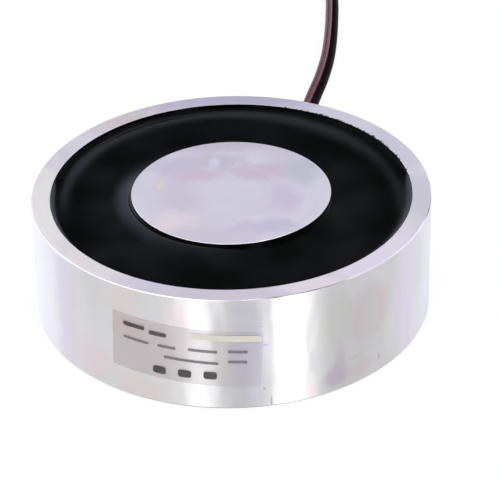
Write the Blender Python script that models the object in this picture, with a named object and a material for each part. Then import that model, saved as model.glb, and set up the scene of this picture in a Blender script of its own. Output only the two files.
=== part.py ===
"""Holding electromagnet: a turned steel pot with a potted coil and a two-core flying lead.

Metres, +Z up. The origin is the centre of the mounting face, which lies on the bench.
The holding face looks up, and the lead leaves the wall at the back.
"""

import itertools
import math

import bmesh
import bpy
from mathutils import Matrix, Vector
from mathutils.geometry import interpolate_bezier

# Gap between two pieces that touch
CLEARANCE = 0.0003
WELD = 0.000001
SHARP_ANGLE = math.radians(30)

# Steel pot: back plate, wall and pole are one turned piece, with the coil's groove between wall and pole
POT_RADIUS = 0.080
POT_HEIGHT = 0.050
RIM_WIDTH = 0.0075
GROOVE_WIDTH = 0.0325
BACK_PLATE = 0.012
FACE_CHAMFER = 0.0006
BACK_CHAMFER = 0.0010
GROOVE_CORNER = 0.0010
POT_SEGMENTS = 120
CORNER_STEPS = 2

# Blind tapped hole in the mounting face, cut to the thread's core
THREAD_CORE_RADIUS = 0.0051
THREAD_DEPTH = 0.020
COUNTERSINK = 0.0015
DRILL_POINT = math.radians(118)

# Two-core lead, and the bush that it leaves the wall through
CORE_DIAMETER = 0.0034
CABLE_ANGLE = math.radians(76.5)
BUSH_WALL = 0.0012
BUSH_COLLAR_LIP = 0.0018
BUSH_COLLAR = 0.0018
BUSH_NOSE = 0.0045
BUSH_SEGMENTS = 40
BUSH_BORE_STEPS = 8

# Coil on its bobbin
LEAD_CHANNEL = 0.0105
BOBBIN_FIT = 0.0005
BOBBIN_TUBE = 0.0017
BOBBIN_FLANGE = 0.0018
WIRE_SLOT = 0.0024
TAPE_STEP = 0.0004
TAPE_THICKNESS = 0.0006
COIL_SEGMENTS = 72
COIL_CORNER = 0.0008

# Magnet wire, and the sleeves over its two joints with the lead
WIRE_DIAMETER = 0.0010
SLEEVE_WALL = 0.0005
SLEEVE_LENGTH = 0.016
SLEEVE_GRIP = 0.005
SOLDER_DIAMETER = 0.0018
SOLDER_LENGTH = 0.004
SLEEVE_TURN = math.radians(17)
SLEEVE_SEGMENTS = 16
SLEEVE_STAND_OFF = 0.0015
TAIL_TURN = math.radians(34)

# Potting resin, dished between the rim and the pole
RESIN_SAG = 0.0034
RESIN_OVER_COIL = 0.0050
RESIN_LIP_DROP = 0.0004
RESIN_POLE_DROP = 0.0008
RIM_MENISCUS = 0.0016
POLE_MENISCUS = 0.0008
DISH_STEPS = 9
RESIN_SEGMENTS = 96

# Label film on the wall
LABEL_WIDTH = 0.060
LABEL_HEIGHT = 0.025
LABEL_ANGLE = math.radians(-104.2)
LABEL_MIDDLE = 0.0243
LABEL_SKEW = math.radians(-2.5)
LABEL_THICKNESS = 0.0002
LABEL_ADHESIVE = 0.0001
LABEL_COLUMNS = 20

# Bared and tinned ends of the lead
TINNED_DIAMETER = 0.0012
TINNED_LENGTH = 0.008

# Where the lead lies: x, y, height of its underside, tilt of the pair in degrees
# (red core up) and how far each core stands off the other's side
LEAD_ROUTE = (
    (0.0219, 0.0914, 0.0164, 0, 0.0),
    (0.0243, 0.1011, 0.0136, 2, 0.0),
    (0.0271, 0.1128, 0.0086, 6, 0.0),
    (0.0299, 0.1245, 0.0038, 10, 0.0),
    (0.0327, 0.1361, 0.0009, 15, 0.0),
    (0.0355, 0.1478, 0.0, 20, 0.0),
    (0.0403, 0.1672, 0.0, 27, 0.0),
    (0.0440, 0.1819, 0.0, 30, 0.0),
    (0.0479, 0.2021, 0.0, 32, 0.0),
    (0.0504, 0.2230, 0.0, 34, 0.0),
    (0.0521, 0.2446, 0.0, 35, 0.0),
    (0.0532, 0.2668, 0.0, 34, 0.0),
    (0.0525, 0.2815, 0.0, 28, 0.0),
    (0.0488, 0.2960, 0.0, 18, 0.0),
    (0.0415, 0.3090, 0.0, 8, 0.0),
    (0.0308, 0.3188, 0.0, 0, 0.0008),
    (0.0175, 0.3250, 0.0, 0, 0.0034),
    (0.0030, 0.3272, 0.0, 0, 0.0062),
    (-0.0075, 0.3268, 0.0, 0, 0.0078),
)
HIDDEN_STEP = 0.0025
FREE_STEP = 0.008

RIM_INNER = POT_RADIUS - RIM_WIDTH
POLE_RADIUS = RIM_INNER - GROOVE_WIDTH
GROOVE_FLOOR = BACK_PLATE + CLEARANCE
CORE_PITCH = CORE_DIAMETER + CLEARANCE
CORE_RADIUS = CORE_DIAMETER / 2
WIRE_RADIUS = WIRE_DIAMETER / 2

BUSH_NECK_RADIUS = CORE_PITCH / 2 + CORE_RADIUS + CLEARANCE + BUSH_WALL
CABLE_HOLE_RADIUS = BUSH_NECK_RADIUS + CLEARANCE
CABLE_HEIGHT = BACK_PLATE + GROOVE_CORNER + CLEARANCE + CABLE_HOLE_RADIUS

BOBBIN_RADIUS = RIM_INNER - LEAD_CHANNEL
BOBBIN_BORE = POLE_RADIUS + BOBBIN_FIT
BOBBIN_TOP = POT_HEIGHT - RESIN_SAG - RESIN_OVER_COIL
TAPE_RADIUS = BOBBIN_RADIUS - TAPE_STEP
WINDING_RADIUS = TAPE_RADIUS - TAPE_THICKNESS - CLEARANCE
WINDING_BORE = BOBBIN_BORE + BOBBIN_TUBE + CLEARANCE
WINDING_BOTTOM = GROOVE_FLOOR + BOBBIN_FLANGE + CLEARANCE
WINDING_TOP = BOBBIN_TOP - BOBBIN_FLANGE - CLEARANCE
SLOT_WIRE_HEIGHT = WINDING_TOP + CLEARANCE + WIRE_RADIUS

SLEEVE_BORE = CORE_RADIUS + CLEARANCE
SLEEVE_RADIUS = SLEEVE_BORE + SLEEVE_WALL
LEAD_RUN = BOBBIN_RADIUS + SLEEVE_STAND_OFF + SLEEVE_RADIUS


def clear_scene():
    for obj in list(bpy.data.objects):
        bpy.data.objects.remove(obj, do_unlink=True)


def principled(name, colour, roughness, metallic=0.0):
    material = bpy.data.materials.new(name)
    material.use_nodes = True
    shader = material.node_tree.nodes["Principled BSDF"]
    shader.inputs["Base Color"].default_value = (*colour, 1.0)
    shader.inputs["Roughness"].default_value = roughness
    shader.inputs["Metallic"].default_value = metallic
    return material


def add_object(name, data, material=None):
    obj = bpy.data.objects.new(name, data)
    bpy.context.scene.collection.objects.link(obj)
    if material:
        data.materials.append(material)
    return obj


def polar(radius, angle, height):
    return Vector((radius * math.cos(angle), radius * math.sin(angle), height))


def arc(middle, radius, start, end, steps):
    """Points of an arc about a (radius, height) middle, angles in degrees."""
    turns = [math.radians(start + (end - start) * i / steps) for i in range(steps + 1)]
    return [(middle[0] + radius * math.cos(a), middle[1] + radius * math.sin(a)) for a in turns]


def shade(mesh):
    mesh.shade_smooth()
    mesh.set_sharp_from_angle(angle=SHARP_ANGLE)


def mesh_from(bm, name):
    bmesh.ops.remove_doubles(bm, verts=bm.verts, dist=WELD)
    bmesh.ops.recalc_face_normals(bm, faces=bm.faces)
    mesh = bpy.data.meshes.new(name)
    bm.to_mesh(mesh)
    bm.free()
    shade(mesh)
    return mesh


def turned(name, profile, segments, closed=True):
    """A mesh spun once round Z from (radius, height) points. Open profiles end on the axis."""
    bm = bmesh.new()
    points = [bm.verts.new((radius, 0.0, height)) for radius, height in profile]
    edges = [bm.edges.new(pair) for pair in itertools.pairwise(points)]
    if closed:
        edges.append(bm.edges.new((points[-1], points[0])))
    bmesh.ops.spin(
        bm,
        geom=points + edges,
        axis=(0.0, 0.0, 1.0),
        angle=2 * math.pi,
        steps=segments,
        use_merge=True,
    )
    return mesh_from(bm, name)


def smooth_path(knots, step):
    """Points about a step apart along one smooth curve through the knots."""
    last = len(knots) - 1
    ways = [(knots[min(i + 1, last)] - knots[max(i - 1, 0)]).normalized() for i in range(last + 1)]
    path = [knots[0]]
    for (start, leaving), (end, arriving) in itertools.pairwise(zip(knots, ways)):
        span = (end - start).length
        points = max(1, round(span / step)) + 1
        reach = span / 3
        bend = interpolate_bezier(start, start + leaving * reach, end - arriving * reach, end, points)
        path += bend[1:]
    return path


def round_wire(name, path, radius, material=None):
    """A round wire or core along a path, as a bevelled curve with closed ends."""
    curve = bpy.data.curves.new(name, "CURVE")
    curve.dimensions = "3D"
    curve.bevel_depth = radius
    curve.bevel_resolution = 2
    curve.use_fill_caps = True
    spline = curve.splines.new("POLY")
    spline.points.add(len(path) - 1)
    for point, place in zip(spline.points, path):
        point.co = (*place, 1.0)
    return add_object(name, curve, material)


def evaluated_mesh(obj):
    bpy.context.view_layer.update()
    graph = bpy.context.evaluated_depsgraph_get()
    return bpy.data.meshes.new_from_object(obj.evaluated_get(graph))


def wire_cutter(name, path, radius):
    """The space that a wire needs in what it runs through, as a closed mesh object."""
    wire = round_wire(name + "_route", path, radius + CLEARANCE)
    bm = bmesh.new()
    bm.from_mesh(evaluated_mesh(wire))
    bpy.data.objects.remove(wire)
    return add_object(name, mesh_from(bm, name))


def cylinder(name, radius, low, high, segments=BUSH_SEGMENTS):
    profile = [(0.0, high), (radius, high), (radius, low), (0.0, low)]
    return add_object(name, turned(name, profile, segments, closed=False))


def block(name, low, high):
    bm = bmesh.new()
    bmesh.ops.create_cube(bm, size=1.0)
    size = Vector(high) - Vector(low)
    middle = (Vector(high) + Vector(low)) / 2
    bmesh.ops.transform(bm, matrix=Matrix.LocRotScale(middle, None, size), verts=bm.verts)
    return add_object(name, mesh_from(bm, name))


def carve(obj, cutters):
    """Takes every cutter out of a piece, keeps the result as its mesh, and drops the cutters."""
    for cutter in cutters:
        cutter.hide_render = True
        cutter.display_type = "WIRE"
        cut = obj.modifiers.new(cutter.name, "BOOLEAN")
        cut.operation = "DIFFERENCE"
        cut.solver = "EXACT"
        cut.object = cutter
    mesh = evaluated_mesh(obj)
    obj.modifiers.clear()
    obj.data = mesh
    shade(mesh)
    for cutter in cutters:
        bpy.data.objects.remove(cutter)


def face_outwards(obj, height=0.0):
    """Turns a piece made along +Z to point out of the wall where the lead leaves."""
    turn = Matrix.Rotation(CABLE_ANGLE, 4, "Z") @ Matrix.Rotation(math.pi / 2, 4, "Y")
    obj.matrix_world = Matrix.Translation((0.0, 0.0, height)) @ turn


def groove_corner(radius, start):
    """The rounded corner that the turning tool leaves at the foot of the groove."""
    middle = (radius, BACK_PLATE + GROOVE_CORNER)
    return arc(middle, GROOVE_CORNER, start, start + 90, CORNER_STEPS)


def pot_housing(material):
    top = POT_HEIGHT
    tip = THREAD_DEPTH + THREAD_CORE_RADIUS / math.tan(DRILL_POINT / 2)
    profile = [
        (0.0, top),
        (POLE_RADIUS - FACE_CHAMFER, top),
        (POLE_RADIUS, top - FACE_CHAMFER),
        *groove_corner(POLE_RADIUS + GROOVE_CORNER, 180),
        *groove_corner(RIM_INNER - GROOVE_CORNER, 270),
        (RIM_INNER, top - FACE_CHAMFER / 2),
        (RIM_INNER + FACE_CHAMFER / 2, top),
        (POT_RADIUS - FACE_CHAMFER, top),
        (POT_RADIUS, top - FACE_CHAMFER),
        (POT_RADIUS, BACK_CHAMFER),
        (POT_RADIUS - BACK_CHAMFER, 0.0),
        (THREAD_CORE_RADIUS + COUNTERSINK, 0.0),
        (THREAD_CORE_RADIUS, COUNTERSINK),
        (THREAD_CORE_RADIUS, THREAD_DEPTH),
        (0.0, tip),
    ]
    pot = add_object("pot_housing", turned("pot_housing", profile, POT_SEGMENTS, closed=False), material)
    hole = cylinder("cable_hole", CABLE_HOLE_RADIUS, RIM_INNER - RIM_WIDTH / 2, POT_RADIUS + RIM_WIDTH)
    face_outwards(hole, CABLE_HEIGHT)
    carve(pot, [hole])


def coil_bobbin(material):
    chamfer = GROOVE_CORNER
    tube = BOBBIN_BORE + BOBBIN_TUBE
    profile = [
        (BOBBIN_BORE, BOBBIN_TOP),
        (BOBBIN_RADIUS, BOBBIN_TOP),
        (BOBBIN_RADIUS, BOBBIN_TOP - BOBBIN_FLANGE),
        (tube, BOBBIN_TOP - BOBBIN_FLANGE),
        (tube, GROOVE_FLOOR + BOBBIN_FLANGE),
        (BOBBIN_RADIUS, GROOVE_FLOOR + BOBBIN_FLANGE),
        (BOBBIN_RADIUS, GROOVE_FLOOR),
        (BOBBIN_BORE + chamfer, GROOVE_FLOOR),
        (BOBBIN_BORE, GROOVE_FLOOR + chamfer),
    ]
    bobbin = add_object("coil_bobbin", turned("coil_bobbin", profile, COIL_SEGMENTS), material)
    low = (tube + CLEARANCE, -WIRE_SLOT / 2, WINDING_TOP)
    high = (BOBBIN_RADIUS + WIRE_SLOT, WIRE_SLOT / 2, POT_HEIGHT)
    slot = block("wire_slot", low, high)
    slot.rotation_euler.z = CABLE_ANGLE - TAIL_TURN
    carve(bobbin, [slot])


def copper_winding(material):
    inner = WINDING_BORE + COIL_CORNER
    outer = WINDING_RADIUS - COIL_CORNER
    high = WINDING_TOP - COIL_CORNER
    low = WINDING_BOTTOM + COIL_CORNER
    profile = [
        *arc((inner, high), COIL_CORNER, 180, 90, CORNER_STEPS),
        *arc((outer, high), COIL_CORNER, 90, 0, CORNER_STEPS),
        *arc((outer, low), COIL_CORNER, 0, -90, CORNER_STEPS),
        *arc((inner, low), COIL_CORNER, -90, -180, CORNER_STEPS),
    ]
    add_object("copper_winding", turned("copper_winding", profile, COIL_SEGMENTS), material)


def winding_tape(material, finish_path):
    profile = [
        (TAPE_RADIUS - TAPE_THICKNESS, WINDING_TOP),
        (TAPE_RADIUS, WINDING_TOP),
        (TAPE_RADIUS, WINDING_BOTTOM),
        (TAPE_RADIUS - TAPE_THICKNESS, WINDING_BOTTOM),
    ]
    tape = add_object("winding_tape", turned("winding_tape", profile, COIL_SEGMENTS), material)
    carve(tape, [wire_cutter("tape_hole", finish_path, WIRE_RADIUS)])


def sleeve_place(side):
    """The middle of a joint sleeve, and the way that leads out of it, away from the bush."""
    angle = CABLE_ANGLE + side * SLEEVE_TURN
    middle = polar(LEAD_RUN, angle, CABLE_HEIGHT)
    return middle, Vector((-math.sin(angle), math.cos(angle), 0.0)) * side


def joint_sleeve(name, side, material):
    """A heat-shrink sleeve: wide over the lead's core, drawn down onto the magnet wire."""
    half = SLEEVE_LENGTH / 2
    wire_bore = WIRE_RADIUS + CLEARANCE
    shoulder = SLEEVE_GRIP + SOLDER_LENGTH + 2 * CLEARANCE - half
    profile = [
        (SLEEVE_BORE, -half),
        (SLEEVE_BORE, shoulder),
        (wire_bore, shoulder + SLEEVE_BORE - wire_bore),
        (wire_bore, half),
        (wire_bore + SLEEVE_WALL, half),
        (wire_bore + SLEEVE_WALL, shoulder + SLEEVE_BORE),
        (SLEEVE_RADIUS, shoulder),
        (SLEEVE_RADIUS, -half),
    ]
    sleeve = add_object(name, turned(name, profile, SLEEVE_SEGMENTS), material)
    middle, away = sleeve_place(side)
    sleeve.matrix_world = Matrix.Translation(middle) @ away.to_track_quat("Z", "Y").to_matrix().to_4x4()


def solder_joint(name, side, material):
    """The core's bared strands soldered to the magnet wire, between the two inside the sleeve."""
    middle, away = sleeve_place(side)
    start = middle + away * (SLEEVE_GRIP + CLEARANCE - SLEEVE_LENGTH / 2)
    round_wire(name, [start, start + away * SOLDER_LENGTH], SOLDER_DIAMETER / 2, material)


def sleeve_cutter(name, side):
    middle, away = sleeve_place(side)
    half = SLEEVE_LENGTH / 2 + CLEARANCE
    return wire_cutter(name, [middle - away * half, middle + away * half], SLEEVE_RADIUS)


def tail_knots(side):
    """The magnet wire from inside its sleeve to where both tails start to turn inwards."""
    middle, away = sleeve_place(side)
    half = SLEEVE_LENGTH / 2
    joint = middle + away * (SLEEVE_GRIP + SOLDER_LENGTH + 2 * CLEARANCE - half)
    mouth = middle + away * half
    return [joint, mouth, mouth + away * 2 * WIRE_DIAMETER]


def finish_wire_path():
    """From the red core's sleeve in through the tape, onto the outermost layer."""
    out, end = TAPE_RADIUS + 2 * WIRE_DIAMETER, WINDING_RADIUS + CLEARANCE + WIRE_RADIUS
    turns = ((LEAD_RUN, 0.86), (out + WIRE_DIAMETER, 0.93), (out, 0.97), (end, 1.0))
    knots = [polar(r, CABLE_ANGLE + TAIL_TURN * share, CABLE_HEIGHT) for r, share in turns]
    return smooth_path(tail_knots(1) + knots, HIDDEN_STEP / 2)


def start_wire_path():
    """From the black core's sleeve up the channel and in along the slot, to the innermost layer."""
    climb = SLOT_WIRE_HEIGHT - CABLE_HEIGHT
    turns = (
        (LEAD_RUN, 0.86, 0.05),
        (LEAD_RUN, 0.94, 0.20),
        (LEAD_RUN, 0.99, 0.45),
        (LEAD_RUN - WIRE_DIAMETER, 1.0, 0.75),
        (BOBBIN_RADIUS + 2 * WIRE_DIAMETER, 1.0, 0.95),
        (BOBBIN_RADIUS - WIRE_DIAMETER, 1.0, 1.0),
        ((BOBBIN_RADIUS + WINDING_BORE) / 2, 1.0, 1.0),
        (WINDING_BORE + WIRE_DIAMETER, 1.0, 1.0),
    )
    knots = [polar(r, CABLE_ANGLE - TAIL_TURN * share, CABLE_HEIGHT + climb * up) for r, share, up in turns]
    return smooth_path(tail_knots(-1) + knots, HIDDEN_STEP)


def core_hidden_path(side):
    """A core from its sleeve, along the channel, round the bend and out through the bush."""
    middle, away = sleeve_place(side)
    half = SLEEVE_LENGTH / 2
    out = polar(1.0, CABLE_ANGLE, 0.0)
    across = Vector((-out.y, out.x, 0.0)) * side * CORE_PITCH / 2
    level = Vector((0.0, 0.0, CABLE_HEIGHT))
    end = middle + away * (SLEEVE_GRIP - half)
    mouth = middle - away * half
    bend_in = mouth - away * CORE_RADIUS * 2.4
    bend_out = out * (LEAD_RUN + CORE_RADIUS * 2.6) + across + level
    wall = out * RIM_INNER + across + level
    through = out * (POT_RADIUS - RIM_WIDTH / 2) + across + level
    return smooth_path([end, mouth, bend_in, bend_out, wall, through], HIDDEN_STEP)


def core_free_path(side):
    """A core from the bush to its bared end. The pair lies side by side, red on the left."""
    out = polar(1.0, CABLE_ANGLE, 0.0)
    level = Vector((0.0, 0.0, CABLE_HEIGHT))
    nose = POT_RADIUS + CLEARANCE + BUSH_COLLAR + BUSH_NOSE
    rows = [(out * radius + level, 0.0, 0.0) for radius in (POT_RADIUS - RIM_WIDTH / 2, POT_RADIUS, nose)]
    for x, y, under, tilt, spread in LEAD_ROUTE:
        lean = math.radians(tilt)
        height = under + CORE_RADIUS + CORE_PITCH / 2 * math.sin(lean)
        rows.append((Vector((x, y, height)), lean, spread))
    knots = []
    for i, (place, lean, spread) in enumerate(rows):
        way = rows[min(i + 1, len(rows) - 1)][0] - rows[max(i - 1, 0)][0]
        left = Vector((-way.y, way.x, 0.0)).normalized()
        lean_way = left * math.cos(lean) + Vector((0.0, 0.0, math.sin(lean)))
        knots.append(place + lean_way * side * (CORE_PITCH / 2 + spread))
    path = smooth_path(knots, FREE_STEP)
    # The bench holds both cores up
    for place in path:
        place.z = max(place.z, CORE_RADIUS)
    return path


def lead_core(colour, side, material, tin):
    path = core_hidden_path(side)[:-1] + core_free_path(side)
    round_wire("lead_" + colour, path, CORE_RADIUS, material)
    way = (path[-1] - path[-2]).normalized()
    start = path[-1] + way * CLEARANCE
    round_wire("tinned_end_" + colour, [start, start + way * TINNED_LENGTH], TINNED_DIAMETER / 2, tin)


def cable_bush(material):
    """The bush in the wall: a neck in the hole, a collar outside it and a short tapered nose."""
    neck, collar = BUSH_NECK_RADIUS, CABLE_HOLE_RADIUS + BUSH_COLLAR_LIP
    inner_end = math.sqrt(RIM_INNER**2 - neck**2)
    seat = POT_RADIUS + CLEARANCE
    face = seat + BUSH_COLLAR
    tip = face + BUSH_NOSE
    chamfer = BUSH_COLLAR / 4
    profile = [
        (0.0, tip),
        (neck - chamfer, tip),
        (neck + chamfer, face),
        (collar - chamfer, face),
        (collar, face - chamfer),
        (collar, seat),
        (neck, seat),
        (neck, inner_end),
        (0.0, inner_end),
    ]
    bush = add_object("cable_bush", turned("cable_bush", profile, BUSH_SEGMENTS, closed=False), material)
    face_outwards(bush, CABLE_HEIGHT)
    bore = lead_bore("lead_bore", inner_end - BUSH_COLLAR, tip + BUSH_COLLAR)
    face_outwards(bore, CABLE_HEIGHT)
    carve(bush, [bore])


def lead_bore(name, low, high):
    """The flat bore that the two cores pass through side by side."""
    radius = CORE_RADIUS + CLEARANCE
    half = CORE_PITCH / 2
    outline = arc((0.0, half), radius, 0, 180, BUSH_BORE_STEPS)
    outline += arc((0.0, -half), radius, 180, 360, BUSH_BORE_STEPS)
    bm = bmesh.new()
    face = bm.faces.new([bm.verts.new((x, y, low)) for x, y in outline])
    raised = bmesh.ops.extrude_face_region(bm, geom=[face])["geom"]
    top = [v for v in raised if isinstance(v, bmesh.types.BMVert)]
    bmesh.ops.translate(bm, verts=top, vec=(0.0, 0.0, high - low))
    return add_object(name, mesh_from(bm, name))


def resin_height(radius):
    """The set resin's surface: flat in the middle, drawn up the wall and the pole at its edges."""
    sag = RESIN_SAG
    at_rim = (sag - RESIN_LIP_DROP) * math.exp(-(RIM_INNER - CLEARANCE - radius) / RIM_MENISCUS)
    at_pole = (sag - RESIN_POLE_DROP) * math.exp(-(radius - POLE_RADIUS - CLEARANCE) / POLE_MENISCUS)
    return POT_HEIGHT - sag + at_rim + at_pole


def potting_resin(material, hidden_paths):
    """The resin over the coil and in the lead channel, set round the lead and its joints."""
    inner, outer = POLE_RADIUS + CLEARANCE, RIM_INNER - CLEARANCE
    skirt = BOBBIN_RADIUS + CLEARANCE
    floor, ceiling = GROOVE_FLOOR, BOBBIN_TOP + CLEARANCE
    middle, half = (inner + outer) / 2, (outer - inner) / 2
    turns = [math.pi * i / DISH_STEPS for i in range(DISH_STEPS + 1)]
    dish = [middle - half * math.cos(turn) for turn in turns]
    profile = [(radius, resin_height(radius)) for radius in dish]
    profile += [
        (outer, floor + GROOVE_CORNER),
        (outer - GROOVE_CORNER, floor),
        (skirt, floor),
        (skirt, ceiling),
        (inner, ceiling),
    ]
    resin = add_object("potting_resin", turned("potting_resin", profile, RESIN_SEGMENTS), material)
    cutters = [wire_cutter(name, path, radius) for name, path, radius in hidden_paths]
    cutters += [sleeve_cutter("red_sleeve_space", 1), sleeve_cutter("black_sleeve_space", -1)]
    carve(resin, cutters)


def label_film(material):
    """The film stuck on the wall, a little askew."""
    inner = POT_RADIUS + LABEL_ADHESIVE
    outer = inner + LABEL_THICKNESS
    turn = Matrix.Rotation(LABEL_SKEW, 2)
    bm = bmesh.new()
    rings = []
    for i in range(LABEL_COLUMNS + 1):
        across = LABEL_WIDTH * (i / LABEL_COLUMNS - 0.5)
        ring = []
        for radius, up in ((inner, -0.5), (outer, -0.5), (outer, 0.5), (inner, 0.5)):
            run, rise = turn @ Vector((across, LABEL_HEIGHT * up))
            ring.append(bm.verts.new(polar(radius, LABEL_ANGLE + run / POT_RADIUS, LABEL_MIDDLE + rise)))
        rings.append(ring)
    for one, other in itertools.pairwise(rings):
        for i in range(4):
            bm.faces.new((one[i], one[i - 1], other[i - 1], other[i]))
    bm.faces.new(rings[0])
    bm.faces.new(rings[-1])
    add_object("label_film", mesh_from(bm, "label_film"), material)


def build():
    clear_scene()
    steel = principled("plated_steel", (0.78, 0.77, 0.80), 0.28, metallic=1.0)
    nylon = principled("natural_nylon", (0.80, 0.76, 0.64), 0.5)
    copper = principled("enamelled_copper", (0.62, 0.25, 0.11), 0.35, metallic=0.8)
    tape = principled("polyester_tape", (0.75, 0.52, 0.08), 0.4)
    shrink = principled("heat_shrink", (0.02, 0.02, 0.02), 0.55)
    resin = principled("black_resin", (0.010, 0.010, 0.012), 0.35)
    rubber = principled("black_rubber", (0.02, 0.02, 0.02), 0.6)
    red = principled("red_insulation", (0.30, 0.03, 0.04), 0.35)
    black = principled("black_insulation", (0.012, 0.012, 0.012), 0.35)
    tin = principled("tinned_copper", (0.75, 0.75, 0.76), 0.3, metallic=1.0)
    film = principled("label_film", (0.74, 0.71, 0.75), 0.3)

    start_path, finish_path = start_wire_path(), finish_wire_path()
    pot_housing(steel)
    coil_bobbin(nylon)
    copper_winding(copper)
    winding_tape(tape, finish_path)
    round_wire("start_wire", start_path, WIRE_RADIUS, copper)
    round_wire("finish_wire", finish_path, WIRE_RADIUS, copper)
    for colour, side in (("red", 1), ("black", -1)):
        joint_sleeve("joint_sleeve_" + colour, side, shrink)
        solder_joint("solder_joint_" + colour, side, tin)
    hidden_paths = [
        ("start_wire_space", start_path, WIRE_RADIUS),
        ("finish_wire_space", finish_path, WIRE_RADIUS),
        ("red_core_space", core_hidden_path(1), CORE_RADIUS),
        ("black_core_space", core_hidden_path(-1), CORE_RADIUS),
    ]
    potting_resin(resin, hidden_paths)
    cable_bush(rubber)
    lead_core("red", 1, red, tin)
    lead_core("black", -1, black, tin)
    label_film(film)


build()
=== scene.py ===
"""Looks of the holding electromagnet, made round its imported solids.

Metres, +Z up, in the solids' own frame. The camera and the lead come first.
"""

import itertools
from math import cos, exp, hypot, pi, radians, sin, tan

import bmesh
import bpy
from mathutils import Matrix, Vector, noise
from mathutils.geometry import interpolate_bezier


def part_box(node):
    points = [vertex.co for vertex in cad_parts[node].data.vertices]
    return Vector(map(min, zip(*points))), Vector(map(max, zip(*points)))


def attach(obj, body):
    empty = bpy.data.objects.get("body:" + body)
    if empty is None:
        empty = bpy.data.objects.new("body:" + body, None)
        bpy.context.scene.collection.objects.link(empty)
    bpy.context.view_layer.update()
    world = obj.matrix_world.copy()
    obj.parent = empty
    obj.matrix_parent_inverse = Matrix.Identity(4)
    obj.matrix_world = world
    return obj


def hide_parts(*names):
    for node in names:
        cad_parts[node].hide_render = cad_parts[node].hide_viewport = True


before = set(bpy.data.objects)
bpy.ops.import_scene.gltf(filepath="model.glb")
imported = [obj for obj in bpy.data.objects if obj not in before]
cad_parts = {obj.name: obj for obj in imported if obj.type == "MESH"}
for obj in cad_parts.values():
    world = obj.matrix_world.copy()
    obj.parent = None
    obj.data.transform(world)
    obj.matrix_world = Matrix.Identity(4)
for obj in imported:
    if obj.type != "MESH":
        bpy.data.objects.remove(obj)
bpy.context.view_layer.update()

BODY = "root"

# Camera, fitted to the outlines in the photograph
CAMERA_LENS = 176.1
CAMERA_SENSOR = 36.0
CAMERA_DISTANCE = 0.9796
CAMERA_ELEVATION = radians(30.67)
CAMERA_PAN = radians(0.48)
CAMERA_TILT = radians(-1.39)
CAMERA_ROLL = radians(-1.22)
CAMERA_CLIP = (0.01, 50.0)

# Gaps that the solids keep, and that the finer pieces close
CLEARANCE = 0.0003
FINE_GAP = 0.00004


def radial_reach(node):
    """The least and the greatest distance of a solid from the turning axis."""
    reach = [hypot(v.co.x, v.co.y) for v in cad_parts[node].data.vertices]
    return min(reach), max(reach)


# Sizes read from the solids
POT_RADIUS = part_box("pot_housing")[1].x
POT_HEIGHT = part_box("pot_housing")[1].z
RESIN_INNER, RESIN_OUTER = radial_reach("potting_resin")
POLE_RADIUS = RESIN_INNER - CLEARANCE
RIM_INNER = RESIN_OUTER + CLEARANCE
GROOVE_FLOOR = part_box("potting_resin")[0].z - CLEARANCE
BOBBIN_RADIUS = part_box("coil_bobbin")[1].x
BOBBIN_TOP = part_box("coil_bobbin")[1].z

# Edges and corners of the steel pot
POT_SEGMENTS = 360
FACE_CHAMFER = 0.0003
RIM_CHAMFER = 0.00008
BACK_CHAMFER = 0.0010
GROOVE_CORNER = 0.0010
EDGE_BLEND = 0.00004
POLE_CHAMFER = 0.0002
POLE_BLEND = 0.00008
FLAT_FACE = EDGE_BLEND / 4
FOOT_START = 0.0001
SUPPORT = 0.00025
SHARP_ANGLE = radians(40)

# Turning marks and the wall's slow waves: depth, and repeats in a metre, or for the waves in a metre
# of height and in a radius round
RING_DEPTH = 0.000012
RING_GRAIN = 2600.0
WALL_GROOVES = 0.00002
GROOVE_GRAIN = 5000.0
WALL_WAVES = 0.0004
WAVE_STRETCH = (22.0, 4.2)

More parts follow.
